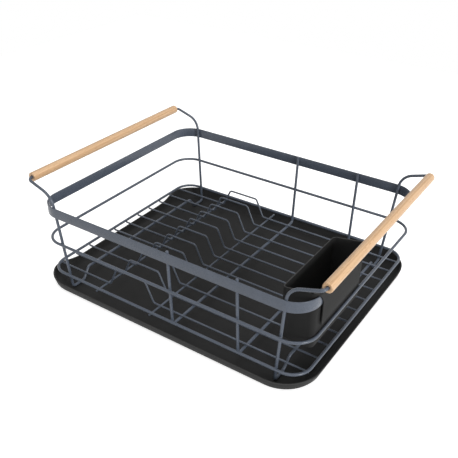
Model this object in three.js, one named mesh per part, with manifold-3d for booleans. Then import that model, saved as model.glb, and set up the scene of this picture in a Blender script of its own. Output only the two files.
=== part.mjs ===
// Dish drainer: a wire basket on four feet that stands in a shallow drip tray,
// with a rim band, two wooden grips and a utensil caddy that hangs on the band.
// Millimetres. X runs along the long side towards the caddy, Y towards the back, Z up.
// The origin is on the worktop, below the middle of the basket.
import * as THREE from 'three';
import { mergeVertices } from 'three/addons/utils/BufferGeometryUtils.js';
import Module from 'manifold-3d';

// Wire stock and the clearances between neighbours
const thickWire = 4.2;
const thinWire = 2.8;
const weldGap = 0.15;
const restGap = 0.3;

// Drip tray: a floor that curves up to an edge, a wall that flares above it, and a rim that
// is low at both ends. The basket stands a little off its middle.
const trayShift = -1.9;
const trayEndMargin = 7.8;
const traySideMargin = 11.9;
const trayFlare = 0.3;
const trayCorner = 50;
const trayWall = 2.2;
const trayFloor = 2;
const trayEdgeHeight = 8.2;
const trayRimHeight = 18.5;
const trayLowRimHeight = 9.1;
const trayRampStart = 81.6;
const trayRampLength = 57;
const trayRimRound = 0.5;
const trayEdgeSteepness = 57;

// Basket rings: the base ring and the middle ring of thick wire, the rim band of flat strip.
// A flare is how far a ring reaches past the base ring on each side.
const baseRingLength = 427.2;
const baseRingWidth = 341.4;
const baseRingCorner = 28.2;
const middleRingEndFlare = 3.7;
const middleRingCorner = 31.9;
const middleRingRise = 52.7;
const bandEndFlare = 2.4;
const bandSideFlare = 4.3;
const bandCorner = 33.4;
const bandThickness = 1.6;
const bandHeight = 15.5;
const bandRise = 97.2;

// Cross frames: two end frames with feet and handle arms, two plain frames between them
const footRise = 15.8;
const footOuterBend = 5;
const footLength = 23;
const footRamp = 13;
const endFrameInset = 37;
const endFrameLean = 0.0888;
const middleFrameXs = [14.9, 120.5];
const middleFrameBend = 6;
const middleFrameTip = 1.3;
const handleShoulderRise = 16.2;
const handleShoulderBend = 25;
const handleCornerBend = 7;

// Floor wires with their plate dividers, and the two thin wires that cross below them
const floorWireCount = 11;
const floorWireSideMargin = 23.2;
const floorWireTipInset = 0.3;
const dividerX = -73.4;
const dividerBase = 81.4;
const dividerTop = 53;
const dividerHeight = 30.6;
const dividerBaseBend = 5;
const dividerTopBend = 5.5;
const crossWireXs = [-121.5, -23.2];

// Wooden grips, each turning on the two ends of a handle arm
const gripOverhang = 16.8;
const gripRise = 30.3;
const gripDiameter = 13.5;
const gripEndRound = 0.9;
const gripArmInset = 3.3;
const gripStandOff = 7;
const gripRunGap = 0.3;
const gripMouth = 6.5;
const gripMouthDepth = 1;
const gripBoreDepth = 18;
const gripWireReach = 15;

// Utensil caddy with the hook that rests on the rim band
const caddyDepth = 45.9;
const caddyLength = 137;
const caddyFrontInset = 24.5;
const caddyDrop = 76.2;
const caddyWall = 2;
const caddyCorner = 6.5;
const caddyBandGap = 0.3;
const caddyRimRise = 5.9;
const caddyRimSlope = 0.174;
const hookBandGap = 0.3;
const hookCorner = 6;
const hookBend = 4;
const flapThickness = 1.3;
const flapInset = 14.6;
const flapSweepStart = 0.9;
const flapSweepBend = 14.6;
const flapSweepEnd = 22.1;
const flapDrop = 48.5;
const flapTuckDrop = 15;
const flapTuck = 0.8;

// How finely round shapes are divided
const wireSides = 8;
const bendStep = THREE.MathUtils.degToRad(26);
const cornerSteps = 8;
const cornerStep = Math.PI / 2 / cornerSteps;
const rampSteps = 5;
const edgeSteps = 4;
const gripSides = 24;

const thickRadius = thickWire / 2;
const thinRadius = thinWire / 2;

// Heights, from the tray floor upwards: each piece rests on or is welded to the one below
const footZ = trayFloor + restGap + thickRadius;
const frameFloorZ = footZ + footRise;
const floorWireZ = frameFloorZ + thickRadius + weldGap + thinRadius;
const crossWireZ = floorWireZ - thinWire - weldGap;
const baseRingZ = floorWireZ + thinRadius + weldGap + thickRadius;
const middleRingZ = baseRingZ + middleRingRise;
const bandBottomZ = baseRingZ + bandRise;
const bandTopZ = bandBottomZ + bandHeight;
const gripZ = bandTopZ + gripRise;
const caddyBottomZ = bandTopZ - caddyDrop;

// Lengths and places that follow the base ring
const trayLength = baseRingLength + 2 * trayEndMargin;
const trayWidth = baseRingWidth + 2 * traySideMargin;
const middleRingLength = baseRingLength + 2 * middleRingEndFlare;
const bandLength = baseRingLength + 2 * bandEndFlare;
const bandWidth = baseRingWidth + 2 * bandSideFlare;
const endFrameX = baseRingLength / 2 - endFrameInset;
const floorWirePitch = (baseRingWidth - 2 * floorWireSideMargin) / (floorWireCount - 1);
const gripX = bandLength / 2 + gripOverhang;
const gripArmY = bandWidth / 2 - gripArmInset;
const gripLength = 2 * (gripArmY - gripStandOff);
const caddyFrontY = caddyFrontInset - bandWidth / 2;

const vector = (x, y, z) => new THREE.Vector3(x, y, z);

// A wire bent at corners, each bend an arc that runs into straight wire. Sections are set
// only at the wire's ends and along its bends, so each straight length stays whole.
class BentWire extends THREE.Curve {

  constructor(corners, closed = false) {
    super();
    const last = corners.length - 1;
    this.stations = corners.flatMap((corner, i) => {
      const before = corners[i === 0 ? last : i - 1].at;
      const after = corners[i === last ? 0 : i + 1].at;
      if (!closed && i === 0) return [BentWire.end(corner.at, corner.at, after)];
      if (!closed && i === last) return [BentWire.end(corner.at, before, corner.at)];
      return BentWire.arc(before, corner, after);
    });
    if (closed) this.stations.push(this.stations[0]);
  }

  static end(at, from, to) {
    return { at, along: to.clone().sub(from).normalize() };
  }

  static arc(before, corner, after) {
    const inward = corner.at.clone().sub(before);
    const outward = after.clone().sub(corner.at);
    const turn = inward.angleTo(outward);
    const half = turn / 2;
    const room = Math.min(inward.length(), outward.length()) / 2;
    const setback = Math.min(corner.bend * Math.tan(half), room);
    inward.normalize();
    outward.normalize();
    const axis = inward.clone().cross(outward).normalize();
    const start = corner.at.clone().addScaledVector(inward, -setback);
    const toCentre = axis.clone().cross(inward).multiplyScalar(setback / Math.tan(half));
    const centre = start.clone().add(toCentre);
    const steps = Math.max(1, Math.round(turn / corner.step));
    return Array.from({ length: steps + 1 }, (_, step) => {
      const angle = (turn * step) / steps;
      const at = toCentre.clone().negate().applyAxisAngle(axis, angle).add(centre);
      return { at, along: inward.clone().applyAxisAngle(axis, angle) };
    });
  }

  get spans() {
    return this.stations.length - 1;
  }

  between(t, key) {
    const place = t * this.spans;
    const index = Math.min(Math.floor(place), this.spans - 1);
    const [from, to] = [this.stations[index][key], this.stations[index + 1][key]];
    return from.clone().lerp(to, place - index);
  }

  getPoint(t, target = vector(0, 0, 0)) {
    return target.copy(this.between(t, 'at'));
  }

  getTangent(t, target = vector(0, 0, 0)) {
    return target.copy(this.between(t, 'along')).normalize();
  }

  // Equal steps of the curve go from station to station
  getUtoTmapping(u) {
    return u;
  }

}

const bend = (x, y, z, radius, step = bendStep) => ({ at: vector(x, y, z), bend: radius, step });
const tip = (x, y, z) => ({ at: vector(x, y, z), bend: 0 });

// Solid wire with two cut ends
function wire(corners, diameter) {
  const path = new BentWire(corners);
  const section = new THREE.Shape();
  section.setFromPoints(Array.from({ length: wireSides }, (_, side) => {
    const angle = (2 * Math.PI * side) / wireSides;
    return new THREE.Vector2(Math.cos(angle), Math.sin(angle)).multiplyScalar(diameter / 2);
  }));
  return new THREE.ExtrudeGeometry(section, { steps: path.spans, extrudePath: path });
}

// Wire welded into a level ring with round corners
function ring(length, width, corner, z, diameter) {
  const [x, y] = [length / 2, width / 2];
  const corners = [[-x, -y], [x, -y], [x, y], [-x, y]].map(([cx, cy]) => {
    return bend(cx, cy, z, corner, cornerStep);
  });
  const path = new BentWire(corners, true);
  return new THREE.TubeGeometry(path, path.spans, diameter / 2, wireSides, true);
}

// How far a rounded rectangle reaches in Y at a given x; inset shrinks it on all sides
function reachAt(x, length, width, corner, inset) {
  const pastCorner = Math.max(0, Math.abs(x) - (length / 2 - corner));
  return width / 2 - corner + Math.sqrt((corner - inset) ** 2 - pastCorner ** 2);
}

// Cross frames stand against the inside of the base ring and of the rim band, so their
// legs lean outwards a little
const legInset = thickWire + weldGap;
const bandInset = bandThickness / 2 + weldGap + thickRadius;

function legReach(xAtRing, xAtBand) {
  const low = reachAt(xAtRing, baseRingLength, baseRingWidth, baseRingCorner, legInset);
  const high = reachAt(xAtBand, bandLength, bandWidth, bandCorner, bandInset);
  const lean = (high - low) / (bandTopZ - baseRingZ);
  return (z) => low + lean * (z - baseRingZ);
}

const endFrameXAt = (z) => endFrameX + endFrameLean * (z - frameFloorZ);
const endLegY = legReach(endFrameXAt(baseRingZ), endFrameXAt(bandTopZ));
const middleLegY = legReach(middleFrameXs[0], middleFrameXs[0]);
const middleRingWidth = 2 * (middleLegY(middleRingZ) + legInset);

const steel = { color: 0x6b7079, roughness: 0.5, metalness: 0.35 };
const blackPlastic = { color: 0x2f2f30, roughness: 0.55, metalness: 0 };
const beech = { color: 0xdcb88e, roughness: 0.6, metalness: 0 };

const drainer = new THREE.Group();

function addPiece(name, geometry, finish) {
  const piece = new THREE.Mesh(geometry, new THREE.MeshStandardMaterial(finish));
  piece.name = name;
  drainer.add(piece);
  return piece;
}

// Drip tray
// Level outlines are stacked from the underside, over the rim and down to the floor. All
// have the same number of points, so each joins the next one with plain quads.
function trayOutline(inset, heightAt) {
  const [x, y] = [trayLength / 2, trayWidth / 2];
  const radius = trayCorner;
  const flareAt = (height) => trayFlare * Math.max(0, height - trayEdgeHeight);
  const points = [];
  const addCorner = (signX, signY, firstAngle) => {
    for (let step = 0; step <= cornerSteps; step += 1) {
      const angle = firstAngle + cornerStep * step;
      const [c, s] = [Math.cos(angle), Math.sin(angle)];
      const height = heightAt(signY * (y - radius) + radius * s);
      const reach = radius - inset + flareAt(height);
      points.push(vector(
        trayShift + signX * (x - radius) + reach * c,
        signY * (y - radius) + reach * s,
        height,
      ));
    }
  };
  const addEnd = (signX) => {
    const lowHalf = y - trayRampStart;
    const straightHalf = y - radius;
    const rampPoints = Array.from({ length: rampSteps }, (_, step) => {
      return straightHalf + (lowHalf - straightHalf) * ((step + 1) / rampSteps);
    });
    const ys = [...rampPoints.map((value) => -value), ...rampPoints.reverse()];
    for (const along of ys) {
      const height = heightAt(signX * along);
      const reach = x - inset + flareAt(height);
      points.push(vector(trayShift + signX * reach, signX * along, height));
    }
  };
  addCorner(1, -1, -Math.PI / 2);
  addEnd(1);
  addCorner(1, 1, 0);
  addCorner(-1, 1, Math.PI / 2);
  addEnd(-1);
  addCorner(-1, -1, Math.PI);
  return points;
}

// The rim is low along the middle of both ends and climbs to full height into the corners
function trayRimAt(y) {
  const climb = (Math.abs(y) - (trayWidth / 2 - trayRampStart)) / trayRampLength;
  const share = THREE.MathUtils.smoothstep(climb, 0, 1);
  return THREE.MathUtils.lerp(trayLowRimHeight, trayRimHeight, share);
}

// An arc from level ground up to the edge, as outlines: its foot lies inset from its top
function trayCurve(topInset, footHeight, topHeight) {
  const steepness = THREE.MathUtils.degToRad(trayEdgeSteepness);
  const radius = (topHeight - footHeight) / (1 - Math.cos(steepness));
  return Array.from({ length: edgeSteps + 1 }, (_, step) => {
    const angle = (steepness * step) / edgeSteps;
    const inset = topInset + radius * (Math.sin(steepness) - Math.sin(angle));
    return trayOutline(inset, () => footHeight + radius * (1 - Math.cos(angle)));
  });
}

function trayGeometry() {
  const loops = [
    ...trayCurve(0, 0, trayEdgeHeight),
    trayOutline(0, (y) => trayRimAt(y) - trayRimRound),
    trayOutline(trayRimRound, trayRimAt),
    trayOutline(trayWall - trayRimRound, trayRimAt),
    trayOutline(trayWall, (y) => trayRimAt(y) - trayRimRound),
    ...trayCurve(trayWall, trayFloor, trayEdgeHeight).reverse(),
  ];
  const count = loops[0].length;
  const vertices = [...loops.flat(), vector(trayShift, 0, 0), vector(trayShift, 0, trayFloor)];
  const underside = vertices.length - 2;
  const floor = vertices.length - 1;
  const lastLoop = (loops.length - 1) * count;
  const faces = [];
  for (let i = 0; i < count; i += 1) {
    const next = (i + 1) % count;
    faces.push(underside, next, i);
    for (let start = 0; start < lastLoop; start += count) {
      const above = start + count;
      faces.push(start + i, start + next, above + next);
      faces.push(start + i, above + next, above + i);
    }
    faces.push(floor, lastLoop + i, lastLoop + next);
  }
  const geometry = new THREE.BufferGeometry().setFromPoints(vertices);
  geometry.setIndex(faces);
  return geometry;
}

addPiece('drip_tray', trayGeometry(), blackPlastic);

// Basket rings
addPiece('base_ring', ring(baseRingLength, baseRingWidth, baseRingCorner, baseRingZ, thickWire), steel);
addPiece(
  'middle_ring',
  ring(middleRingLength, middleRingWidth, middleRingCorner, middleRingZ, thickWire),
  steel,
);

// Rim band: a flat strip on edge, bent into a rounded rectangle
function roundedRectangle(length, width, corner, Outline) {
  const [x, y] = [length / 2, width / 2];
  const outline = new Outline();
  outline.absarc(x - corner, y - corner, corner, 0, Math.PI / 2);
  outline.absarc(-x + corner, y - corner, corner, Math.PI / 2, Math.PI);
  outline.absarc(-x + corner, -y + corner, corner, Math.PI, (3 * Math.PI) / 2);
  outline.absarc(x - corner, -y + corner, corner, (3 * Math.PI) / 2, 2 * Math.PI);
  return outline;
}

function bandGeometry() {
  const halfWall = bandThickness / 2;
  const strip = roundedRectangle(
    bandLength + bandThickness, bandWidth + bandThickness, bandCorner + halfWall, THREE.Shape,
  );
  strip.holes.push(roundedRectangle(
    bandLength - bandThickness, bandWidth - bandThickness, bandCorner - halfWall, THREE.Path,
  ));
  const options = { depth: bandHeight, bevelEnabled: false, curveSegments: cornerSteps };
  return new THREE.ExtrudeGeometry(strip, options).translate(0, 0, bandBottomZ);
}

addPiece('rim_band', bandGeometry(), steel);

// End frames: each is one wire that runs from one end of a grip, down a leg, along the
// feet and the basket floor, and up the other leg to the other end of the grip
function endFrame(side) {
  const footY = endLegY(footZ);
  const innerFootY = footY - footLength;
  const floorY = innerFootY - footRamp;
  const shoulderZ = bandTopZ + handleShoulderRise;
  const footX = side * endFrameXAt(footZ);
  const halfFrame = [
    tip(side * gripX, gripLength / 2 - gripWireReach, gripZ),
    bend(side * gripX, gripArmY, gripZ, handleCornerBend),
    bend(side * endFrameXAt(shoulderZ), endLegY(shoulderZ), shoulderZ, handleShoulderBend),
    bend(footX, footY, footZ, footOuterBend),
    bend(footX, innerFootY, footZ, footOuterBend),
    bend(side * endFrameX, floorY, frameFloorZ, footOuterBend),
  ];
  const frontHalf = halfFrame.map(({ at, bend: radius }) => bend(at.x, -at.y, at.z, radius));
  return wire([...frontHalf, ...halfFrame.reverse()], thickWire);
}

addPiece('left_end_frame', endFrame(-1), steel);
addPiece('right_end_frame', endFrame(1), steel);

// Middle frames: plain wires whose cut tips stand just proud of the rim band
middleFrameXs.forEach((x, index) => {
  const tipZ = bandTopZ + middleFrameTip;
  const corners = [
    tip(x, -middleLegY(tipZ), tipZ),
    bend(x, -middleLegY(frameFloorZ), frameFloorZ, middleFrameBend),
    bend(x, middleLegY(frameFloorZ), frameFloorZ, middleFrameBend),
    tip(x, middleLegY(tipZ), tipZ),
  ];
  addPiece(`middle_frame_${index + 1}`, wire(corners, thickWire), steel);
});

// Floor wires: each ends under the base ring and rises once, as a plate divider
const tipX = baseRingLength / 2 - floorWireTipInset;
for (let index = 0; index < floorWireCount; index += 1) {
  const y = (index - (floorWireCount - 1) / 2) * floorWirePitch;
  const topZ = floorWireZ + dividerHeight;
  const corners = [
    tip(-tipX, y, floorWireZ),
    bend(dividerX - dividerBase / 2, y, floorWireZ, dividerBaseBend),
    bend(dividerX - dividerTop / 2, y, topZ, dividerTopBend),
    bend(dividerX + dividerTop / 2, y, topZ, dividerTopBend),
    bend(dividerX + dividerBase / 2, y, floorWireZ, dividerBaseBend),
    tip(tipX, y, floorWireZ),
  ];
  const number = String(index + 1).padStart(2, '0');
  addPiece(`floor_wire_${number}`, wire(corners, thinWire), steel);
}

// Cross wires below the floor wires, one on each side of the dividers
crossWireXs.forEach((x, index) => {
  const tipY = reachAt(x, baseRingLength, baseRingWidth, baseRingCorner, 0);
  const corners = [tip(x, -tipY, crossWireZ), tip(x, tipY, crossWireZ)];
  addPiece(`cross_wire_${index + 1}`, wire(corners, thinWire), steel);
});

// Grips: dowels with a blind bore in each end, countersunk at its mouth
function gripGeometry() {
  const [radius, end] = [gripDiameter / 2, gripLength / 2];
  const bore = thickRadius + gripRunGap;
  const boreEnd = end - gripBoreDepth;
  const halfProfile = [
    [0, boreEnd],
    [bore, boreEnd],
    [bore, end - gripMouthDepth],
    [gripMouth / 2, end],
    [radius - gripEndRound, end],
    [radius, end - gripEndRound],
  ];
  const profile = [
    ...halfProfile.map(([r, y]) => new THREE.Vector2(r, -y)),
    ...halfProfile.reverse().map(([r, y]) => new THREE.Vector2(r, y)),
  ];
  return new THREE.LatheGeometry(profile, gripSides);
}

addPiece('left_grip', gripGeometry(), beech).position.set(-gripX, 0, gripZ);
addPiece('right_grip', gripGeometry(), beech).position.set(gripX, 0, gripZ);

// Utensil caddy
const wasm = await Module();
wasm.setup();

function toSolid(geometry) {
  const bare = geometry.clone();
  bare.deleteAttribute('normal');
  bare.deleteAttribute('uv');
  const merged = mergeVertices(bare);
  const mesh = new wasm.Mesh({
    numProp: 3,
    vertProperties: new Float32Array(merged.attributes.position.array),
    triVerts: new Uint32Array(merged.index.array),
  });
  return new wasm.Manifold(mesh);
}

function toGeometry(solid) {
  const mesh = solid.getMesh();
  const geometry = new THREE.BufferGeometry();
  geometry.setAttribute('position', new THREE.BufferAttribute(mesh.vertProperties, 3));
  geometry.setIndex(new THREE.BufferAttribute(mesh.triVerts, 1));
  return geometry;
}

const caddyOuterX = bandLength / 2 - bandThickness / 2 - caddyBandGap;
const caddyX = caddyOuterX - caddyDepth / 2;
const caddyY = caddyFrontY + caddyLength / 2;
const caddyRimZ = bandTopZ + caddyRimRise;
const caddyHeight = caddyRimZ - caddyBottomZ;

// A box with round upright corners, shrunk on all sides by the inset
function caddyBox(inset, bottomZ) {
  const outline = roundedRectangle(
    caddyDepth - 2 * inset, caddyLength - 2 * inset, caddyCorner - inset, THREE.Shape,
  );
  const options = { depth: caddyHeight, bevelEnabled: false, curveSegments: cornerSteps / 2 };
  return toSolid(new THREE.ExtrudeGeometry(outline, options).translate(caddyX, caddyY, bottomZ));
}

// A profile drawn in X and Z, drawn out along Y between two places
function alongY(profile, fromY, toY) {
  const options = { depth: toY - fromY, bevelEnabled: false, curveSegments: cornerSteps / 2 };
  const geometry = new THREE.ExtrudeGeometry(profile, options);
  return toSolid(geometry.rotateX(Math.PI / 2).translate(0, toY, 0));
}

// A profile drawn in Y and Z, drawn out along X between two places
function alongX(profile, fromX, toX) {
  const options = { depth: toX - fromX, bevelEnabled: false, curveSegments: cornerSteps / 2 };
  const geometry = new THREE.ExtrudeGeometry(profile, options);
  return toSolid(geometry.rotateX(Math.PI / 2).rotateZ(Math.PI / 2).translate(fromX, 0, 0));
}

// What the slanting rim leaves off: everything above a plane that falls towards the inside
function aboveRim() {
  const reach = caddyDepth;
  const wedge = new THREE.Shape();
  wedge.setFromPoints([
    [caddyOuterX + reach, caddyRimZ + reach * caddyRimSlope],
    [caddyOuterX + reach, caddyRimZ + caddyHeight],
    [caddyOuterX - 2 * reach, caddyRimZ + caddyHeight],
    [caddyOuterX - 2 * reach, caddyRimZ - 2 * reach * caddyRimSlope],
  ].map(([x, z]) => new THREE.Vector2(x, z)));
  return alongY(wedge, caddyFrontY - caddyCorner, caddyFrontY + caddyLength + caddyCorner);
}

// The hook: a shelf that widens the rim over the rim band, and a flap that hangs down
// outside the band. At both ends the flap's edge sweeps up to the corner of the rim.
function hook() {
  const [fromY, toY] = [caddyFrontY, caddyFrontY + caddyLength];
  const innerX = bandLength / 2 + bandThickness / 2 + hookBandGap;
  const outerX = innerX + flapThickness;
  const seatZ = bandTopZ + restGap;
  const endZ = seatZ - flapDrop;
  const tuckZ = endZ + flapTuckDrop;
  const profile = new THREE.Shape();
  profile.moveTo(caddyX, seatZ);
  profile.lineTo(innerX, seatZ);
  profile.lineTo(innerX, endZ);
  profile.lineTo(outerX - flapTuck, endZ);
  profile.lineTo(outerX - flapTuck / 4, (tuckZ + endZ) / 2);
  profile.lineTo(outerX, tuckZ);
  profile.absarc(outerX - hookBend, caddyRimZ - hookBend, hookBend, 0, Math.PI / 2);
  profile.lineTo(caddyX, caddyRimZ);

  const [frontEdgeY, rearEdgeY] = [fromY + flapInset, toY - flapInset];
  const bendZ = caddyRimZ - flapSweepBend;
  const side = new THREE.Shape();
  side.moveTo(fromY, caddyRimZ);
  side.lineTo(fromY, caddyRimZ - flapSweepStart);
  side.quadraticCurveTo(frontEdgeY, bendZ, frontEdgeY, caddyRimZ - flapSweepEnd);
  side.lineTo(frontEdgeY, endZ);
  side.lineTo(rearEdgeY, endZ);
  side.lineTo(rearEdgeY, caddyRimZ - flapSweepEnd);
  side.quadraticCurveTo(rearEdgeY, bendZ, toY, caddyRimZ - flapSweepStart);
  side.lineTo(toY, caddyRimZ);

  const reach = outerX - caddyOuterX;
  const plan = roundedRectangle(caddyDepth + reach, caddyLength, hookCorner, THREE.Shape);
  const options = { depth: caddyHeight, bevelEnabled: false, curveSegments: cornerSteps / 2 };
  const outline = new THREE.ExtrudeGeometry(plan, options);
  outline.translate(caddyX + reach / 2, caddyY, caddyBottomZ);
  return alongY(profile, fromY, toY)
    .intersect(alongX(side, caddyX, outerX))
    .intersect(toSolid(outline));
}

const caddy = caddyBox(0, caddyBottomZ)
  .add(hook())
  .subtract(caddyBox(caddyWall, caddyBottomZ + caddyWall))
  .subtract(aboveRim());

addPiece('utensil_caddy', toGeometry(caddy), blackPlastic);

export default drainer;
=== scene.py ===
# Dish drainer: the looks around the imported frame. Lengths are in metres and slopes are ratios.
import math

import bpy
from mathutils import Matrix, Vector


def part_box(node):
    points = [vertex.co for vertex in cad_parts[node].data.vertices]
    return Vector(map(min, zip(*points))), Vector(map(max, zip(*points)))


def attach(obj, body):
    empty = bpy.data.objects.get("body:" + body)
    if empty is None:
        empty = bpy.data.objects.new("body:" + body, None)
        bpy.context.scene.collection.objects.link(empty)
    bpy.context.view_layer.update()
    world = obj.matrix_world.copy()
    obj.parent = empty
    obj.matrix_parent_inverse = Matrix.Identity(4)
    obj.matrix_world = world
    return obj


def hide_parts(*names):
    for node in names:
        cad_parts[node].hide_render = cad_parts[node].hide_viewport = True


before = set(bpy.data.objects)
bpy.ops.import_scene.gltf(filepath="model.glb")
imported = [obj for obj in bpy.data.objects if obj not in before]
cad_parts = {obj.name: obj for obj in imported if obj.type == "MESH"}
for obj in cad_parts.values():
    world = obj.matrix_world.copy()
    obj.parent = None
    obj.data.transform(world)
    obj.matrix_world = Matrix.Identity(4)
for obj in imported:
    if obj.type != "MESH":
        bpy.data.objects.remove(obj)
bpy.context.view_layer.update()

MM = 0.001
RIGHT_ANGLE = math.pi / 2
X, Y, Z = 0, 1, 2
UP = Vector((0, 0, 1))
SIDES = (-1, 1)


def middle(node, axis):
    low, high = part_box(node)
    return (low[axis] + high[axis]) / 2


def extent(node, axis):
    low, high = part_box(node)
    return high[axis] - low[axis]


# What the frame gives
THICK = extent("base_ring", Z)
THIN = extent("cross_wire_1", Z)
RING_Z = middle("base_ring", Z)
BAND_LOW, BAND_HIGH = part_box("rim_band")[0][Z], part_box("rim_band")[1][Z]
FLOOR_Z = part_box("floor_wire_01")[0][Z] + THIN / 2
FOOT_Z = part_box("right_end_frame")[0][Z] + THICK / 2
CROSS_FRAME_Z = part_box("middle_frame_1")[0][Z] + THICK / 2
GRIP_X = middle("right_grip", X)
GRIP_Z = middle("right_grip", Z)
GRIP_RADIUS = extent("right_grip", Z) / 2
GRIP_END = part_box("right_grip")[1][Y]
MIDDLE_FRAMES = ["middle_frame_1", "middle_frame_2"]
CROSS_WIRES = ["cross_wire_1", "cross_wire_2"]
FLOOR_WIRES = sorted(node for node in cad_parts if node.startswith("floor_wire_"))

# Forms that a box can't give, as in the solid model
WELD_GAP = 0.15 * MM
BAND_THICKNESS = 1.6 * MM
RING_CORNERS = {"base_ring": 28.2 * MM, "middle_ring": 31.9 * MM}
BAND_CORNER = 33.4 * MM
FOOT_BEND = 5 * MM
FOOT_LENGTH = 23 * MM
FOOT_RAMP = 13 * MM
END_FRAME_INSET = 37 * MM
END_FRAME_LEAN = 0.0888
MIDDLE_BEND = 6 * MM
SHOULDER_RISE = 16.2 * MM
SHOULDER_BEND = 25 * MM
ARM_BEND = 7 * MM
GRIP_STAND_OFF = 7 * MM
GRIP_WIRE_REACH = 15 * MM
DIVIDER_X = -73.4 * MM
DIVIDER_BASE = 81.4 * MM
DIVIDER_TOP = 53 * MM
DIVIDER_BASE_BEND = 5 * MM
DIVIDER_TOP_BEND = 5.5 * MM

# How finely round forms are drawn
WIRE_SIDES = 20
BEND_STEP = math.radians(6)
ROUND_STEPS = 6

# Edges that turn by more than this, in degrees, stay sharp
WIRE_SHARP = 60
BAND_SHARP = 35
BEAD_SHARP = 180
GRIP_SHARP = 50
TRAY_SHARP = 25
CADDY_SHARP = 30


# Materials
def fill(node, values, links):
    """Sets a node's inputs: plain values, and links from other nodes' outputs."""
    for socket, value in values.items():
        node.inputs[socket].default_value = value
    for socket, source in links.items():
        node.id_data.links.new(source, node.inputs[socket])


def add_node(tree, kind, values, links, **settings):
    node = tree.nodes.new(kind)
    for key, value in settings.items():
        setattr(node, key, value)
    fill(node, values, links)
    return node


def new_material(name):
    """A material that has only a shader so far."""
    material = bpy.data.materials.new(name)
    material.use_nodes = True
    tree = material.node_tree
    tree.nodes.clear()
    shader = add_node(tree, "ShaderNodeBsdfPrincipled", {}, {})
    add_node(tree, "ShaderNodeOutputMaterial", {}, {"Surface": shader.outputs["BSDF"]})
    return material, tree, shader


def place(tree, scale=(1, 1, 1), shift=(0, 0, 0)):
    """The object's own coordinates in metres, stretched by scale and shifted."""
    coordinates = add_node(tree, "ShaderNodeTexCoord", {}, {})
    mapping = add_node(
        tree, "ShaderNodeMapping", {"Scale": scale, "Location": shift},
        {"Vector": coordinates.outputs["Object"]},
    )
    return mapping.outputs["Vector"]


def noise(tree, vector, scale, detail, roughness=0.5):
    values = {"Scale": scale, "Detail": detail, "Roughness": roughness}
    return add_node(tree, "ShaderNodeTexNoise", values, {"Vector": vector}).outputs["Fac"]


def ramp(tree, factor, stops):
    """A colour for each factor, between stops of (factor, colour)."""
    node = add_node(tree, "ShaderNodeValToRGB", {}, {"Fac": factor})
    elements = node.color_ramp.elements
    while len(elements) < len(stops):
        elements.new(0.5)
    for element, (position, color) in zip(elements, stops):
        element.position = position
        element.color = (*color, 1)
    return node.outputs["Color"]


def mapped(tree, value, start, end, low, high, **settings):
    """Maps start..end to low..high."""
    values = {"From Min": start, "From Max": end, "To Min": low, "To Max": high}
    node = add_node(tree, "ShaderNodeMapRange", values, {"Value": value}, **settings)
    return node.outputs["Result"]


def span(tree, factor, low, high):
    return mapped(tree, factor, 0, 1, low, high)


def smoothly_mapped(tree, value, start, end, low, high):
    """Maps start..end to low..high, levelled off at both ends."""
    return mapped(tree, value, start, end, low, high, interpolation_type="SMOOTHSTEP")


def maths(tree, operation, *sources):
    links = dict(enumerate(sources))
    return add_node(tree, "ShaderNodeMath", {}, links, operation=operation).outputs[0]


def bump(tree, height, strength, distance, below=None):
    """A bumpy normal, over another one where below is given."""
    links = {"Height": height} if below is None else {"Height": height, "Normal": below}
    values = {"Strength": strength, "Distance": distance}
    return add_node(tree, "ShaderNodeBump", values, links).outputs["Normal"]


def multiply(tree, first, second, share=1.0):
    node = add_node(
        tree, "ShaderNodeMix", {"Factor": share}, {"A": first, "B": second},
        data_type="RGBA", blend_type="MULTIPLY",
    )
    return node.outputs["Result"]


def srgb(red, green, blue):
    """A colour given as 0..255 picture values, in the renderer's linear values."""
    def linear(value):
        value /= 255
        return value / 12.92 if value <= 0.04045 else ((value + 0.055) / 1.055) ** 2.4
    return tuple(linear(value) for value in (red, green, blue))


def coated_steel():
    """Blue grey powder coat: slightly uneven colour, fine speckles and an orange peel."""
    material, tree, shader = new_material("powder_coat")
    cloud = noise(tree, place(tree), scale=60, detail=3)
    grain = noise(tree, place(tree), scale=1400, detail=2)
    peel = noise(tree, place(tree), scale=700, detail=1)
    color = ramp(tree, cloud, [(0.3, srgb(74, 81, 92)), (0.7, srgb(80, 87, 99))])
    speckle = ramp(tree, grain, [(0.35, (0.86, 0.86, 0.87)), (0.65, (1.1, 1.1, 1.1))])
    fine = bump(tree, grain, strength=0.4, distance=0.03 * MM)
    fill(shader, {"Specular IOR Level": 0.35}, {
        "Base Color": multiply(tree, color, speckle),
        "Roughness": span(tree, grain, 0.22, 0.34),
        "Normal": bump(tree, peel, strength=0.35, distance=0.06 * MM, below=fine),
    })
    return material


def black_plastic(name, dark, light, roughness, above_rim, rim_highlight):
    """Moulded plastic with a fine spark-eroded grain, and a painted highlight along its rim.

    above_rim makes the nodes that say how far a point lies above the rim. The argument after it
    says where on that scale the painted rim highlight starts and where it is full, and how much
    paler it makes the colour.
    """
    material, tree, shader = new_material(name)
    cloud = noise(tree, place(tree), scale=18, detail=3)
    grain = noise(tree, place(tree), scale=1800, detail=2)
    color = ramp(tree, cloud, [(0.3, dark), (0.7, light)])
    # Painted highlight: the colour turns paler close to the rim, standing in for light caught by
    # the rounded rim edge.
    start, full, gain = rim_highlight
    painted_rim_highlight = smoothly_mapped(tree, above_rim(tree), start, full, 1, gain)
    fill(shader, {"Specular IOR Level": 0.06}, {
        "Base Color": multiply(tree, color, painted_rim_highlight),
        "Roughness": span(tree, grain, roughness - 0.05, roughness + 0.08),
        "Normal": bump(tree, grain, strength=0.5, distance=0.03 * MM),
    })
    return material


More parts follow.
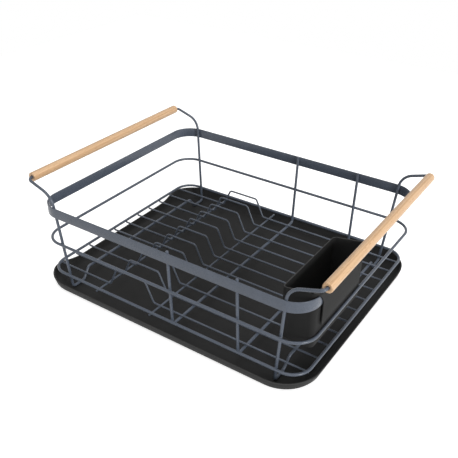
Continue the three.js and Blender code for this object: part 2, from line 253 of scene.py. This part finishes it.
def beech():
    """Pale beech along Y: growth rings round an axis beside the dowel, fibres and short flecks."""
    material, tree, shader = new_material("beech_wood")
    rings = add_node(
        tree, "ShaderNodeTexWave",
        {"Scale": 48, "Distortion": 5, "Detail": 2, "Detail Scale": 0.6},
        {"Vector": place(tree, scale=(1, 0.06, 1), shift=(0.03, 0, -0.12))},
        wave_type="RINGS", rings_direction="Y",
    )
    fibre = noise(tree, place(tree, scale=(1, 0.04, 1)), scale=420, detail=4, roughness=0.65)
    fleck = noise(tree, place(tree, scale=(1, 0.1, 1)), scale=1300, detail=0)
    ring_color = ramp(tree, rings.outputs["Fac"], [
        (0.0, srgb(206, 170, 132)), (0.6, srgb(213, 178, 140)), (1.0, srgb(196, 158, 119)),
    ])
    fibre_color = ramp(tree, fibre, [(0.35, (0.84, 0.81, 0.77)), (0.6, (1, 1, 1))])
    fleck_color = ramp(tree, fleck, [(0.69, (1, 1, 1)), (0.74, (0.72, 0.62, 0.5))])
    with_fibres = multiply(tree, ring_color, fibre_color, share=0.75)
    fill(shader, {"Specular IOR Level": 0.5}, {
        "Base Color": multiply(tree, with_fibres, fleck_color, share=0.6),
        "Roughness": span(tree, fibre, 0.36, 0.48),
        "Normal": bump(tree, fibre, strength=0.3, distance=0.04 * MM),
    })
    return material


STEEL = coated_steel()
BEECH = beech()


# Meshes
def new_piece(name, shape, material, body, sharp, nodes=()):
    """Makes a piece of a shape (vertices, faces) that stands for the given nodes, if any."""
    vertices, faces = shape
    mesh = bpy.data.meshes.new(name)
    mesh.from_pydata([tuple(vertex) for vertex in vertices], [], faces)
    mesh.validate()
    mesh.polygons.foreach_set("use_smooth", [True] * len(mesh.polygons))
    mesh.set_sharp_from_angle(angle=math.radians(sharp))
    mesh.materials.append(material)
    piece = bpy.data.objects.new(name, mesh)
    bpy.context.scene.collection.objects.link(piece)
    if nodes:
        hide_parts(*nodes)
    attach(piece, body)


def loft(loops, ring=False):
    """Vertices and faces of equal loops joined one to the next, with end caps or as a ring."""
    count = len(loops[0])
    vertices = [point for loop in loops for point in loop]
    faces = []
    for level in range(len(loops) if ring else len(loops) - 1):
        low, high = level * count, (level + 1) % len(loops) * count
        for i in range(count):
            after = (i + 1) % count
            faces.append((low + i, low + after, high + after, high + i))
    if not ring:
        faces.append(tuple(reversed(range(count))))
        faces.append(tuple(range(len(vertices) - count, len(vertices))))
    return vertices, faces


def corner_angles(start, steps):
    """The angles of a quarter turn, which starts after a number of right angles."""
    return [RIGHT_ANGLE * (start + step / steps) for step in range(steps + 1)]


def circle(radius, sides=WIRE_SIDES):
    angles = [2 * math.pi * side / sides for side in range(sides)]
    return [(radius * math.cos(angle), radius * math.sin(angle)) for angle in angles]


def bent(corners, closed=False):
    """Points and directions along a wire bent at corners of (place, bend radius)."""
    stations = []
    last = len(corners) - 1
    for i, (at, radius) in enumerate(corners):
        if not closed and i in (0, last):
            along = corners[1][0] - at if i == 0 else at - corners[i - 1][0]
            stations.append((at, along.normalized()))
            continue
        inward = at - corners[i - 1][0]
        outward = corners[(i + 1) % len(corners)][0] - at
        turn = inward.angle(outward)
        room = min(inward.length, outward.length) / 2
        setback = min(radius * math.tan(turn / 2), room)
        inward.normalize()
        outward.normalize()
        axis = inward.cross(outward).normalized()
        to_centre = axis.cross(inward) * (setback / math.tan(turn / 2))
        centre = at - inward * setback + to_centre
        steps = max(2, math.ceil(turn / BEND_STEP))
        for step in range(steps + 1):
            rotation = Matrix.Rotation(turn * step / steps, 3, axis)
            stations.append((centre - rotation @ to_centre, rotation @ inward))
    return stations


def swept(places, section, normal, closed=False):
    """A section carried without twist along places of (point, direction, share of its width)."""
    loops = []
    before = places[0][1]
    for at, along, wide in places:
        normal = before.rotation_difference(along) @ normal
        before = along
        side = along.cross(normal)
        loops.append([at + (normal * u + side * v) * wide for u, v in section])
    return loft(loops, ring=closed)


def even(stations):
    return [(at, along, 1.0) for at, along in stations]


# A cut wire end is slightly rounded: how far each section lies from the end, and how wide
# it is, as shares of the radius
TIP_SHARES = [(0.0, 0.5), (0.06, 0.74), (0.2, 0.92), (0.45, 1.0)]


def add_wire(node, corners, diameter):
    """An open wire in place of a node."""
    radius = diameter / 2
    stations = bent(corners)
    (start, first), (end, last) = stations[0], stations[-1]
    places = [(start + first * back * radius, first, wide) for back, wide in TIP_SHARES]
    places += even(stations[1:-1])
    places += [(end - last * back * radius, last, wide) for back, wide in reversed(TIP_SHARES)]
    shape = swept(places, circle(radius), first.orthogonal().normalized())
    new_piece(node + "_wire", shape, STEEL, "basket", WIRE_SHARP, [node])


# Rings and rim band
BAND_EDGE = 0.5 * MM
BAND_EDGE_STEPS = 4


def half_sizes(node, thickness):
    return (extent(node, X) - thickness) / 2, (extent(node, Y) - thickness) / 2


def add_hoop(name, node, section, thickness, corner, sharp):
    """A closed wire or strip, bent into a rounded rectangle that fills the node's box."""
    half_x, half_y = half_sizes(node, thickness)
    z = middle(node, Z)
    corners = [
        (Vector((x, y, z)), corner)
        for x, y in ((-half_x, -half_y), (half_x, -half_y), (half_x, half_y), (-half_x, half_y))
    ]
    shape = swept(even(bent(corners, closed=True)), section, UP, closed=True)
    new_piece(name, shape, STEEL, "basket", sharp, [node])


def band_section():
    """The section of the flat strip on edge, with rounded edges."""
    half_height, half_thickness = (BAND_HIGH - BAND_LOW) / 2, BAND_THICKNESS / 2
    section = []
    for sign_u, sign_v, start in ((1, 1, 0), (-1, 1, 1), (-1, -1, 2), (1, -1, 3)):
        for angle in corner_angles(start, BAND_EDGE_STEPS):
            section.append((
                sign_u * (half_height - BAND_EDGE) + BAND_EDGE * math.cos(angle),
                sign_v * (half_thickness - BAND_EDGE) + BAND_EDGE * math.sin(angle),
            ))
    return section


for ring, ring_corner in RING_CORNERS.items():
    add_hoop(ring + "_wire", ring, circle(THICK / 2), THICK, ring_corner, WIRE_SHARP)
add_hoop("rim_band_strip", "rim_band", band_section(), BAND_THICKNESS, BAND_CORNER, BAND_SHARP)

RING_X, RING_Y = half_sizes("base_ring", THICK)
BAND_X, BAND_Y = half_sizes("rim_band", BAND_THICKNESS)


# Cross frames
def reach_at(offset, half_along, half_across, corner, inset):
    """How far a rounded rectangle, shrunk by the inset, reaches across at an offset along it."""
    past = max(0.0, abs(offset) - (half_along - corner))
    return half_across - corner + math.sqrt((corner - inset) ** 2 - past ** 2)


def leg_y(x_at_ring, x_at_band):
    """The leg's distance from the middle as a function of height."""
    ring_inset = THICK + WELD_GAP
    low = reach_at(x_at_ring, RING_X, RING_Y, RING_CORNERS["base_ring"], ring_inset)
    band_inset = BAND_THICKNESS / 2 + WELD_GAP + THICK / 2
    high = reach_at(x_at_band, BAND_X, BAND_Y, BAND_CORNER, band_inset)
    lean = (high - low) / (BAND_HIGH - RING_Z)
    return lambda z: low + lean * (z - RING_Z)


def end_frame_x(z):
    return RING_X - END_FRAME_INSET + END_FRAME_LEAN * (z - CROSS_FRAME_Z)


end_leg_y = leg_y(end_frame_x(RING_Z), end_frame_x(BAND_HIGH))
middle_leg_y = leg_y(0, 0)
FOOT_Y = end_leg_y(FOOT_Z)
CROSS_PART_Y = FOOT_Y - FOOT_LENGTH - FOOT_RAMP


def add_end_frame(node, side):
    foot_x = side * end_frame_x(FOOT_Z)
    cross_x = side * end_frame_x(CROSS_FRAME_Z)
    shoulder_z = BAND_HIGH + SHOULDER_RISE
    shoulder_x = side * end_frame_x(shoulder_z)
    half = [
        ((side * GRIP_X, GRIP_END - GRIP_WIRE_REACH, GRIP_Z), 0),
        ((side * GRIP_X, GRIP_END + GRIP_STAND_OFF, GRIP_Z), ARM_BEND),
        ((shoulder_x, end_leg_y(shoulder_z), shoulder_z), SHOULDER_BEND),
        ((foot_x, FOOT_Y, FOOT_Z), FOOT_BEND),
        ((foot_x, FOOT_Y - FOOT_LENGTH, FOOT_Z), FOOT_BEND),
        ((cross_x, CROSS_PART_Y, CROSS_FRAME_Z), FOOT_BEND),
    ]
    front = [(Vector((x, -y, z)), radius) for (x, y, z), radius in half]
    back = [(Vector(at), radius) for at, radius in reversed(half)]
    add_wire(node, front + back, THICK)


def add_middle_frame(node):
    x = middle(node, X)
    tip_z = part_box(node)[1][Z]
    tip_y, foot_y = middle_leg_y(tip_z), middle_leg_y(CROSS_FRAME_Z)
    add_wire(node, [
        (Vector((x, -tip_y, tip_z)), 0),
        (Vector((x, -foot_y, CROSS_FRAME_Z)), MIDDLE_BEND),
        (Vector((x, foot_y, CROSS_FRAME_Z)), MIDDLE_BEND),
        (Vector((x, tip_y, tip_z)), 0),
    ], THICK)


add_end_frame("left_end_frame", -1)
add_end_frame("right_end_frame", 1)
for middle_frame in MIDDLE_FRAMES:
    add_middle_frame(middle_frame)


# Floor wires, each with its raised divider, and cross wires
def add_floor_wire(node):
    low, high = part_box(node)
    y = middle(node, Y)
    top = high[Z] - THIN / 2
    add_wire(node, [
        (Vector((low[X], y, FLOOR_Z)), 0),
        (Vector((DIVIDER_X - DIVIDER_BASE / 2, y, FLOOR_Z)), DIVIDER_BASE_BEND),
        (Vector((DIVIDER_X - DIVIDER_TOP / 2, y, top)), DIVIDER_TOP_BEND),
        (Vector((DIVIDER_X + DIVIDER_TOP / 2, y, top)), DIVIDER_TOP_BEND),
        (Vector((DIVIDER_X + DIVIDER_BASE / 2, y, FLOOR_Z)), DIVIDER_BASE_BEND),
        (Vector((high[X], y, FLOOR_Z)), 0),
    ], THIN)


def add_cross_wire(node):
    low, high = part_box(node)
    x, z = middle(node, X), middle(node, Z)
    add_wire(node, [(Vector((x, low[Y], z)), 0), (Vector((x, high[Y], z)), 0)], THIN)


for floor_wire in FLOOR_WIRES:
    add_floor_wire(floor_wire)
for cross_wire in CROSS_WIRES:
    add_cross_wire(cross_wire)


# Welds: a small flattened bead fills the seam wherever two wires cross
BEAD_RINGS = 6
BEAD_SIDES = 10
BEAD_FLATNESS = 0.6
THIN_BEAD = 0.52 * THIN
THICK_BEAD = 0.45 * THICK
BAND_WELD_INSET = 4 * MM


def add_bead(at, radius, axis, vertices, faces):
    """Adds a bead to the lists: a ball of the given radius, flattened along the axis."""
    base = len(vertices)
    across = axis.orthogonal().normalized()
    other = axis.cross(across)
    pole = axis * radius * BEAD_FLATNESS
    vertices.append(at + pole)
    for ring in range(1, BEAD_RINGS):
        polar = math.pi * ring / BEAD_RINGS
        centre = at + pole * math.cos(polar)
        for u, v in circle(radius * math.sin(polar), BEAD_SIDES):
            vertices.append(centre + across * u + other * v)
    vertices.append(at - pole)
    last = len(vertices) - 1
    for side in range(BEAD_SIDES):
        after = (side + 1) % BEAD_SIDES
        faces.append((base, base + 1 + side, base + 1 + after))
        faces.append((last, last - BEAD_SIDES + after, last - BEAD_SIDES + side))
        for ring in range(BEAD_RINGS - 2):
            low = base + 1 + ring * BEAD_SIDES
            high = low + BEAD_SIDES
            faces.append((low + side, high + side, high + after, low + after))


def add_floor_welds(vertices, faces):
    above, below = FLOOR_Z + THIN / 2, FLOOR_Z - THIN / 2
    for node in FLOOR_WIRES:
        y = middle(node, Y)
        ring_x = reach_at(y, RING_Y, RING_X, RING_CORNERS["base_ring"], 0) - THIN / 4
        for side in SIDES:
            add_bead(Vector((side * ring_x, y, above)), THIN_BEAD, UP, vertices, faces)
            if abs(y) < CROSS_PART_Y - FOOT_BEND:
                at = Vector((side * end_frame_x(CROSS_FRAME_Z), y, below))
                add_bead(at, THIN_BEAD, UP, vertices, faces)
        for cross in CROSS_WIRES + MIDDLE_FRAMES:
            add_bead(Vector((middle(cross, X), y, below)), THIN_BEAD, UP, vertices, faces)


def add_leg_welds(vertices, faces):
    legs = [(middle(node, X), 0.0, middle_leg_y) for node in MIDDLE_FRAMES]
    legs += [(side * end_frame_x(0), side * END_FRAME_LEAN, end_leg_y) for side in SIDES]
    band_levels = [BAND_LOW + BAND_WELD_INSET, BAND_HIGH - BAND_WELD_INSET]
    for x, lean, reach in legs:
        for z in [RING_Z, middle("middle_ring", Z)] + band_levels:
            for side in SIDES:
                at = Vector((x + lean * z, side * (reach(z) + THICK / 2), z))
                add_bead(at, THICK_BEAD, Vector((0, side, 0)), vertices, faces)


def add_welds():
    vertices, faces = [], []
    add_floor_welds(vertices, faces)
    add_leg_welds(vertices, faces)
    new_piece("weld_beads", (vertices, faces), STEEL, "basket", BEAD_SHARP)


add_welds()

# Grips
BORE_RADIUS = 2.4 * MM
BORE_DEPTH = 18 * MM
MOUTH_RADIUS = 3.25 * MM
MOUTH_DEPTH = 1 * MM
GRIP_EDGE = 1 * MM
GRIP_SIDES = 48


def add_grip(node, side, body):
    """A dowel with a blind bore in each end, turned round its axis."""
    half = [
        (BORE_RADIUS, GRIP_END - BORE_DEPTH),
        (BORE_RADIUS, GRIP_END - MOUTH_DEPTH),
        (MOUTH_RADIUS, GRIP_END),
    ]
    for angle in reversed(corner_angles(0, ROUND_STEPS)):
        half.append((
            GRIP_RADIUS - GRIP_EDGE + GRIP_EDGE * math.cos(angle),
            GRIP_END - GRIP_EDGE + GRIP_EDGE * math.sin(angle),
        ))
    profile = [(radius, -y) for radius, y in half] + half[::-1]
    centre = Vector((side * GRIP_X, 0, GRIP_Z))
    vertices, faces = loft([
        [centre + Vector((u, y, v)) for u, v in circle(radius, GRIP_SIDES)]
        for radius, y in profile
    ])
    outward = [face[::-1] for face in faces]
    new_piece(node + "_dowel", (vertices, outward), BEECH, body, GRIP_SHARP, [node])


add_grip("left_grip", -1, "grip_at_left")
add_grip("right_grip", 1, "grip_at_right")

# Drip tray
TRAY_SHIFT = -1.9 * MM
TRAY_X = RING_X + 7.8 * MM
TRAY_Y = RING_Y + 11.9 * MM
TRAY_FLARE = 0.3
TRAY_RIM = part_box("drip_tray")[1][Z]
TRAY_CORNER = 50 * MM
TRAY_WALL = 2.2 * MM
TRAY_FLOOR = 2 * MM
TRAY_EDGE = 8.2 * MM
TRAY_RIM_ROUND = 0.8 * MM
TRAY_LOW_RIM = 9.1 * MM
TRAY_RAMP_FOOT = TRAY_Y - 81.6 * MM
TRAY_RAMP_LENGTH = 57 * MM
TRAY_STEEPNESS = math.radians(57)
TRAY_CORNER_STEPS = 24
TRAY_END_STEPS = 20
TRAY_CURVE_STEPS = 10


def above_tray_rim(tree):
    """How far a point lies above the rim, which is lowered along the middle of both ends."""
    axes = add_node(tree, "ShaderNodeSeparateXYZ", {}, {"Vector": place(tree)})
    off_middle = maths(tree, "ABSOLUTE", axes.outputs["Y"])
    ramp_top = TRAY_RAMP_FOOT + TRAY_RAMP_LENGTH
    rim = smoothly_mapped(tree, off_middle, TRAY_RAMP_FOOT, ramp_top, TRAY_LOW_RIM, TRAY_RIM)
    return maths(tree, "SUBTRACT", axes.outputs["Z"], rim)


# The tray's rim gets a painted highlight: its colour grows lighter from 1.1 mm below the rim, up to
# twice as light from 0.4 mm below.
TRAY_PLASTIC = black_plastic(
    "tray_plastic", dark=srgb(42, 42, 42), light=srgb(46, 46, 46), roughness=0.5,
    above_rim=above_tray_rim, rim_highlight=(-1.1 * MM, -0.4 * MM, 2.0),
)


def tray_rim(y):
    share = min(1.0, max(0.0, (abs(y) - TRAY_RAMP_FOOT) / TRAY_RAMP_LENGTH))
    climb = share * share * (3 - 2 * share)
    return TRAY_LOW_RIM + (TRAY_RIM - TRAY_LOW_RIM) * climb


# Heights along an outline: the same all round, or a drop below a rim
def level(height):
    return lambda _: height


def below(rim, drop):
    return lambda at: rim(at) - drop


def rim_profile(wall, edge):
    """Insets and drops from the outer face over the rounded rim to the inner face."""
    outer = [
        (edge * (1 - math.cos(angle)), edge * (1 - math.sin(angle)))
        for angle in corner_angles(0, ROUND_STEPS)
    ]
    return outer + [(wall - inset, drop) for inset, drop in reversed(outer)]


def tray_loop(inset, height_at):
    """A level outline, or one that follows the rim; above the edge the wall flares outwards."""
    points = []
    corner_x, corner_y = TRAY_X - TRAY_CORNER, TRAY_Y - TRAY_CORNER

    def add(x, y, out_x, out_y):
        height = height_at(y + TRAY_CORNER * out_y)
        out = TRAY_CORNER - inset + TRAY_FLARE * max(0.0, height - TRAY_EDGE)
        points.append(Vector((TRAY_SHIFT + x + out * out_x, y + out * out_y, height)))

    def corner(sign_x, sign_y, start):
        for angle in corner_angles(start, TRAY_CORNER_STEPS):
            add(sign_x * corner_x, sign_y * corner_y, math.cos(angle), math.sin(angle))

    def end(sign):
        for step in range(1, TRAY_END_STEPS):
            add(sign * corner_x, sign * corner_y * (2 * step / TRAY_END_STEPS - 1), sign, 0)

    corner(1, -1, -1)
    end(1)
    corner(1, 1, 0)
    corner(-1, 1, 1)
    end(-1)
    corner(-1, -1, 2)
    return points


def tray_curve(top_inset, foot):
    """An arc from level ground at the foot's height up to the edge, as loops."""
    radius = (TRAY_EDGE - foot) / (1 - math.cos(TRAY_STEEPNESS))
    loops = []
    for step in range(TRAY_CURVE_STEPS + 1):
        angle = TRAY_STEEPNESS * step / TRAY_CURVE_STEPS
        inset = top_inset + radius * (math.sin(TRAY_STEEPNESS) - math.sin(angle))
        loops.append(tray_loop(inset, level(foot + radius * (1 - math.cos(angle)))))
    return loops


def add_tray():
    outside = tray_curve(0, 0)
    rim = [
        tray_loop(inset, below(tray_rim, drop))
        for inset, drop in rim_profile(TRAY_WALL, TRAY_RIM_ROUND)
    ]
    inside = tray_curve(TRAY_WALL, TRAY_FLOOR)[::-1]
    shape = loft(outside + rim + inside)
    new_piece(
        "drip_tray_shell", shape, TRAY_PLASTIC, "tray", TRAY_SHARP, ["drip_tray"],
    )


add_tray()

# Utensil caddy
CADDY_LOW, CADDY_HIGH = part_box("utensil_caddy")
CADDY_WALL = 2 * MM
CADDY_CORNER = 6.5 * MM
CADDY_CORNER_STEPS = 8
CADDY_FOOT_ROUND = 1.2 * MM
CADDY_RIM_ROUND = 0.95 * MM
CADDY_RIM_SLOPE = 0.174
CADDY_BAND_GAP = 0.3 * MM
CADDY_OUTER_X = BAND_X - BAND_THICKNESS / 2 - CADDY_BAND_GAP
HOOK_SEAT = BAND_HIGH + CADDY_BAND_GAP
HOOK_CORNER = 6 * MM
HOOK_CORNER_STEPS = 10
HOOK_BEND = 4 * MM
HOOK_BEND_STEPS = 8
HOOK_ROOT = 0.8 * CADDY_WALL
HOOK_LIFT = 0.02 * MM
FLAP_THICKNESS = 1.3 * MM
FLAP_INSET = 14.6 * MM
FLAP_SWEEP_START = 0.9 * MM
FLAP_SWEEP_BEND = 14.6 * MM
FLAP_SWEEP_END = 22.1 * MM
FLAP_SWEEP_STEPS = 10
FLAP_CORNER = 2 * MM
FLAP_MIDDLE_SHARES = (0.3, 0.5, 0.75)
FLAP_FACE_STEPS = 10
FLAP_END_Z = HOOK_SEAT - 48.5 * MM
FLAP_TUCK_DROP = 15 * MM
FLAP_TUCK = 0.8 * MM


def caddy_rim(x):
    return CADDY_HIGH[Z] - CADDY_RIM_SLOPE * (CADDY_OUTER_X - x)


def above_caddy_rim(tree):
    """How far a point lies above the sloping rim."""
    height = add_node(
        tree, "ShaderNodeVectorMath", {1: (-CADDY_RIM_SLOPE, 0, 1)}, {0: place(tree)},
        operation="DOT_PRODUCT",
    )
    above = add_node(
        tree, "ShaderNodeMath", {1: caddy_rim(0)}, {0: height.outputs["Value"]},
        operation="SUBTRACT",
    )
    return above.outputs[0]


# The caddy's rim gets a painted highlight: its colour grows lighter from 0.5 mm below the rim, up
# to 2.4 times as light from 0.1 mm below.
CADDY_PLASTIC = black_plastic(
    "caddy_plastic", dark=srgb(38, 38, 38), light=srgb(42, 42, 42), roughness=0.66,
    above_rim=above_caddy_rim, rim_highlight=(-0.5 * MM, -0.1 * MM, 2.4),
)


def caddy_loop(inset, height_at):
    low_x, high_x = CADDY_LOW[X] + inset, CADDY_OUTER_X - inset
    low_y, high_y = CADDY_LOW[Y] + inset, CADDY_HIGH[Y] - inset
    corner = CADDY_CORNER - inset
    points = []
    for centre_x, centre_y, start in (
        (high_x - corner, low_y + corner, -1), (high_x - corner, high_y - corner, 0),
        (low_x + corner, high_y - corner, 1), (low_x + corner, low_y + corner, 2),
    ):
        for angle in corner_angles(start, CADDY_CORNER_STEPS):
            x = centre_x + corner * math.cos(angle)
            points.append(Vector((x, centre_y + corner * math.sin(angle), height_at(x))))
    return points


def add_caddy_box():
    foot = [
        (CADDY_FOOT_ROUND * (1 - math.sin(angle)), CADDY_FOOT_ROUND * (1 - math.cos(angle)))
        for angle in corner_angles(0, ROUND_STEPS)
    ]
    outside = [caddy_loop(inset, level(CADDY_LOW[Z] + rise)) for inset, rise in foot]
    rim = [
        caddy_loop(inset, below(caddy_rim, drop))
        for inset, drop in rim_profile(CADDY_WALL, CADDY_RIM_ROUND)
    ]
    inside = [
        caddy_loop(CADDY_WALL + inset, level(CADDY_LOW[Z] + CADDY_WALL + rise))
        for inset, rise in reversed(foot)
    ]
    shape = loft(outside + rim + inside)
    new_piece(
        "caddy_box", shape, CADDY_PLASTIC, "caddy", CADDY_SHARP,
        ["utensil_caddy"],
    )


def corner_recess(distance, corner):
    """How far a round corner falls back at a distance from its end."""
    past = max(0.0, corner - distance)
    return corner - math.sqrt(corner ** 2 - past ** 2)


def flap_end(distance):
    """The outer face's lower edge: it sweeps down from the rim's corner to the flap."""
    if distance >= FLAP_INSET:
        return FLAP_END_Z + corner_recess(distance - FLAP_INSET, FLAP_CORNER)
    share = 1 - math.sqrt(1 - distance / FLAP_INSET)
    drop = (1 - share) ** 2 * FLAP_SWEEP_START
    drop += 2 * share * (1 - share) * FLAP_SWEEP_BEND + share ** 2 * FLAP_SWEEP_END
    return CADDY_HIGH[Z] - drop


def hook_section(y, distance):
    """The hook's outline in X and Z at one place along it, at a distance from its end."""
    top = CADDY_HIGH[Z]
    outer = CADDY_HIGH[X] - corner_recess(distance, HOOK_CORNER)
    inner = outer - FLAP_THICKNESS
    wall = CADDY_OUTER_X - corner_recess(distance, CADDY_CORNER)
    end = flap_end(distance)
    tuck_start = FLAP_END_Z + FLAP_TUCK_DROP

    def face(z):
        return outer - FLAP_TUCK * max(0.0, (tuck_start - z) / FLAP_TUCK_DROP) ** 2

    half = (face(end) - inner) / 2
    edge = min(half, (top - end) / 3)
    turn = min(HOOK_BEND, (top - end) / 2)
    seat = max(HOOK_SEAT, end + edge + HOOK_LIFT)
    outline = [(wall - HOOK_ROOT, seat), (inner, seat)]
    for step in range(ROUND_STEPS + 1):
        angle = math.pi * (1 - step / ROUND_STEPS)
        outline.append((inner + half + half * math.cos(angle), end + edge - edge * math.sin(angle)))
    for step in range(1, FLAP_FACE_STEPS + 1):
        z = end + edge + (top - turn - end - edge) * step / FLAP_FACE_STEPS
        outline.append((face(z), z))
    for angle in corner_angles(0, HOOK_BEND_STEPS)[1:]:
        outline.append((outer - turn * (1 - math.cos(angle)), top - turn * (1 - math.sin(angle))))
    seam = min(wall, outer - turn) - CADDY_WALL / 2
    outline.append((seam, caddy_rim(seam) + HOOK_LIFT))
    outline.append((seam, caddy_rim(seam) - CADDY_WALL / 2))
    return [Vector((x, y, z)) for x, z in outline]


def corner_distances(corner, steps):
    """Distances from a round corner's end, close together where it turns most."""
    return [corner * (1 - math.cos(angle)) for angle in corner_angles(0, steps)[1:]]


def add_caddy_hook():
    """A shelf over the rim band with a flap outside it, drawn along Y from end to end."""
    half = (CADDY_HIGH[Y] - CADDY_LOW[Y]) / 2
    middle_y = (CADDY_HIGH[Y] + CADDY_LOW[Y]) / 2
    distances = corner_distances(HOOK_CORNER, HOOK_CORNER_STEPS)
    for step in range(1, FLAP_SWEEP_STEPS + 1):
        distances.append(HOOK_CORNER + (FLAP_INSET - HOOK_CORNER) * step / FLAP_SWEEP_STEPS)
    distances += [FLAP_INSET + past for past in corner_distances(FLAP_CORNER, ROUND_STEPS)]
    distances += [half * share for share in FLAP_MIDDLE_SHARES]
    places = [(middle_y - half + d, d) for d in distances] + [(middle_y, half)]
    places += [(middle_y + half - d, d) for d in reversed(distances)]
    shape = loft([hook_section(y, distance) for y, distance in places])
    new_piece("caddy_hook", shape, CADDY_PLASTIC, "caddy", CADDY_SHARP)


add_caddy_box()
add_caddy_hook()

# Stage: a white floor that keeps the shadow, a white surround, and three soft lamps
WHITE = (1, 1, 1, 1)
FLOOR_COLOR = (0.8, 0.8, 0.8, 1)
FLOOR_GLOW = 0.7
FLOOR_HALF = 1.2
FLOOR_GAP = 0.2 * MM
SURROUND_SHOWN = 1
SURROUND_LIGHT = 0.4
LAMP_TARGET = (0, 0, 0.08)


def seen_share(tree, shown, lit):
    """The strength lit for light that falls on the object, and shown where the eye meets it."""
    rays = add_node(tree, "ShaderNodeLightPath", {}, {}).outputs
    seen = maths(tree, "MAXIMUM", rays["Is Camera Ray"], rays["Is Glossy Ray"])
    seen = maths(tree, "MAXIMUM", seen, rays["Is Transmission Ray"])
    return span(tree, seen, lit, shown)


def add_floor():
    material, tree, shader = new_material("floor_white")
    fill(shader, {
        "Base Color": FLOOR_COLOR, "Roughness": 1, "Specular IOR Level": 0, "Emission Color": WHITE,
    }, {"Emission Strength": seen_share(tree, FLOOR_GLOW, 0)})
    low, high = -FLOOR_HALF, FLOOR_HALF
    mesh = bpy.data.meshes.new("floor")
    corners = [(low, low, 0), (high, low, 0), (high, high, 0), (low, high, 0)]
    mesh.from_pydata(corners, [], [(0, 1, 2, 3)])
    mesh.materials.append(material)
    floor = bpy.data.objects.new("floor", mesh)
    floor.location.z = -FLOOR_GAP
    bpy.context.scene.collection.objects.link(floor)


def add_surround():
    world = bpy.data.worlds.new("surround")
    world.use_nodes = True
    bpy.context.scene.world = world
    tree = world.node_tree
    strength = seen_share(tree, SURROUND_SHOWN, SURROUND_LIGHT)
    fill(tree.nodes["Background"], {"Color": WHITE}, {"Strength": strength})


def add_lamp(name, at, target, size, power):
    light = bpy.data.lights.new(name, "AREA")
    light.shape = "DISK"
    light.size = size
    light.energy = power
    lamp = bpy.data.objects.new(name, light)
    lamp.location = at
    lamp.rotation_euler = (Vector(target) - Vector(at)).to_track_quat("-Z", "Y").to_euler()
    bpy.context.scene.collection.objects.link(lamp)


add_floor()
add_surround()
add_lamp("overhead", at=(0.2, -0.3, 2.2), target=(0, 0, 0), size=1.6, power=19)
add_lamp("side", at=(3.6, -1.2, 1.2), target=LAMP_TARGET, size=1.1, power=108)
add_lamp("front", at=(-0.5, -4.0, 0.9), target=LAMP_TARGET, size=2.4, power=10)

# Camera, at the photograph's place; the lens and the sensor are in millimetres
CAMERA_AT = Vector((464.5, -714.3, 597.6)) * MM
CAMERA_AZIMUTH = math.radians(33.32)
CAMERA_ELEVATION = math.radians(31.09)
CAMERA_ROLL = math.radians(0.89)
CAMERA_LENS = 52.18
CAMERA_SENSOR = 36
CAMERA_NEAR, CAMERA_FAR = 0.02, 50


def add_camera():
    right = Vector((math.cos(CAMERA_AZIMUTH), math.sin(CAMERA_AZIMUTH), 0))
    back = Vector((
        math.sin(CAMERA_AZIMUTH) * math.cos(CAMERA_ELEVATION),
        -math.cos(CAMERA_AZIMUTH) * math.cos(CAMERA_ELEVATION),
        math.sin(CAMERA_ELEVATION),
    ))
    up = back.cross(right)
    rolled_right = right * math.cos(CAMERA_ROLL) + up * math.sin(CAMERA_ROLL)
    rolled_up = up * math.cos(CAMERA_ROLL) - right * math.sin(CAMERA_ROLL)
    view = bpy.data.cameras.new("camera")
    view.sensor_width = CAMERA_SENSOR
    view.lens = CAMERA_LENS
    view.clip_start = CAMERA_NEAR
    view.clip_end = CAMERA_FAR
    camera = bpy.data.objects.new("camera", view)
    turn = Matrix((rolled_right, rolled_up, back)).transposed()
    camera.matrix_world = Matrix.Translation(CAMERA_AT) @ turn.to_4x4()
    bpy.context.scene.collection.objects.link(camera)
    bpy.context.scene.camera = camera


add_camera()
bpy.context.scene.view_settings.view_transform = "Standard"
